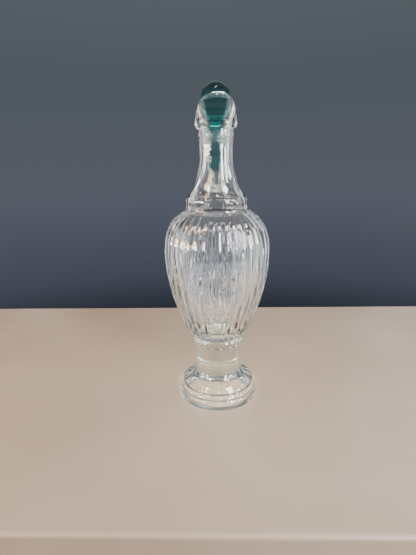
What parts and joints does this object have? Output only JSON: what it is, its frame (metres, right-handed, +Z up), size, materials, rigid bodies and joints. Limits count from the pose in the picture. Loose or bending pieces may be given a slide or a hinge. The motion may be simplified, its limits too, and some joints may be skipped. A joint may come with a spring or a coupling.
{
  "type": "dropper bottle",
  "caption": "Clear glass dropper bottle: ribbed amphora body on a foot with a shallow hollow, flared neck, hooded dropper insert with a drip tube, and a green glass stopper that lifts out.",
  "frame": {"origin": "centre of the foot ring's underside, where the bottle stands", "axes": "+Z up along the bottle's axis, -Y towards the side that the hood faces, with its pouring lip turned 8 degrees from it towards +X, +X to the right seen from the front"},
  "size_m": [0.1004, 0.1004, 0.3],
  "materials": {
    "clear_glass": "clear pressed soda-lime glass with a faint green tint in thick places",
    "insert_glass": "clear glass, ground matt where the plug sits in the neck",
    "green_glass": "solid deep teal-green glass, fire-polished head, smooth ground plug"
  },
  "bodies": {
    "bottle": {"foot": "clear_glass", "stem_ring": "clear_glass", "vessel": "clear_glass", "neck": "clear_glass"},
    "dropper": {"dropper": "insert_glass"},
    "stopper": {"stopper": "green_glass"}
  },
  "joints": [
    {"name": "dropper_lift", "type": "slide", "parent": "bottle", "child": "dropper", "axis": [0, 0, 1], "range_m": [0, 0.07]},
    {"name": "stopper_lift", "type": "slide", "parent": "dropper", "child": "stopper", "axis": [0, 0, 1], "range_m": [0, 0.07]}
  ]
}
